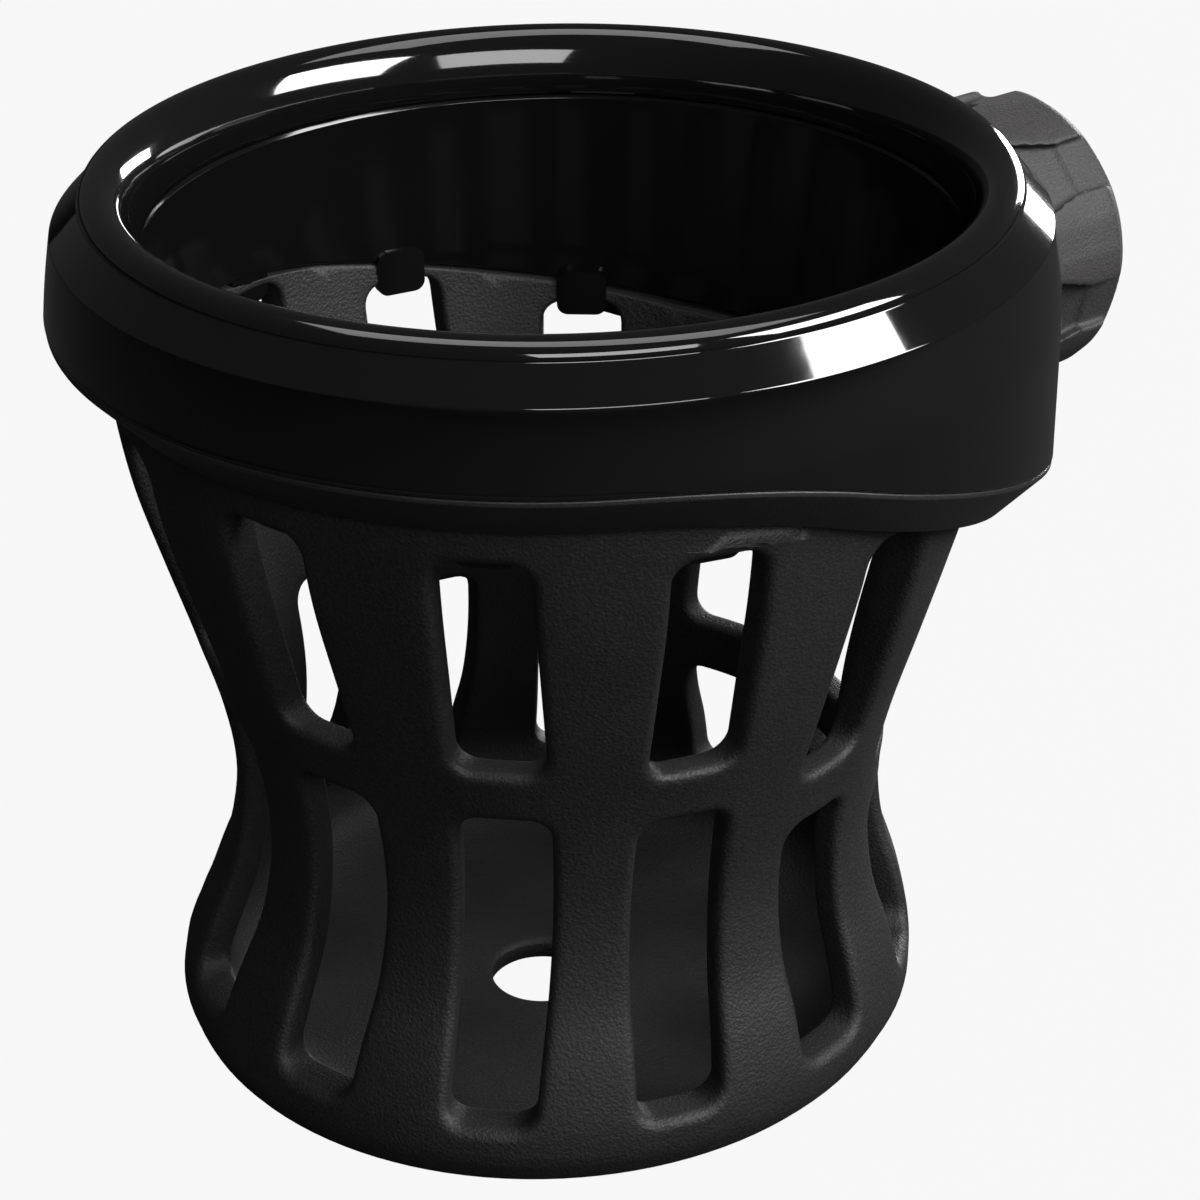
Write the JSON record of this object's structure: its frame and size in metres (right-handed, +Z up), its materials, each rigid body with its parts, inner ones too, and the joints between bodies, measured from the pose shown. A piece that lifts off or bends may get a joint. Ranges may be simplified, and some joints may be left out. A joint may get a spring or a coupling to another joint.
{
  "type": "clamp-on cup holder",
  "caption": "Round cup holder: gloss ring with a bead lip and a skirt deeper at one side, slotted hourglass rubber basket, and a side clamping knob on a stud.",
  "frame": {"origin": "centre of the drain hole in the underside of the basket, on the basket's axis", "axes": "+Z up along the basket's axis, +X along the stud toward the knob and the bracket side"},
  "size_m": [0.1256, 0.1068, 0.1045],
  "materials": {
    "ring": "high-gloss black over die-cast metal",
    "trim": "satin black moulded",
    "basket": "matte fine-grained black",
    "sleeve": "gloss black",
    "steel": "zinc-plated",
    "dark_steel": "black oxide",
    "hub": "moulded nylon",
    "grip": "soft-touch matte charcoal",
    "brass": "machined",
    "cap": "fine-textured"
  },
  "bodies": {
    "holder": {"ring_shell": "ring", "trim_ring": "trim", "basket": "basket", "inner_sleeve": "sleeve", "stud": "steel", "tooth_disc": "steel", "disc_screw_1": "dark_steel", "disc_screw_2": "dark_steel", "stud_clip": "dark_steel", "collar_screw_1": "dark_steel", "collar_screw_2": "dark_steel", "collar_screw_3": "dark_steel", "collar_screw_4": "dark_steel", "collar_screw_5": "dark_steel", "collar_screw_6": "dark_steel"},
    "washer": {"thrust_cup": "steel"},
    "knob": {"knob_hub": "hub", "knob_grip": "grip", "knob_insert": "brass", "knob_cap": "cap", "nose_clip": "dark_steel", "disc_spring": "dark_steel"}
  },
  "joints": [
    {"name": "washer_travel", "type": "slide", "parent": "holder", "child": "washer", "axis": [1, 0, 0], "range_m": [0, 0.00402]},
    {"name": "knob_turn", "type": "hinge", "parent": "washer", "child": "knob", "pos_m": [0, 0, 0.0801], "axis": [1, 0, 0], "range_deg": [0, 1152]}
  ],
  "couplings": [
    {"joint": "washer_travel", "follows": "knob_turn", "m_per_rad": 0.00019894}
  ]
}
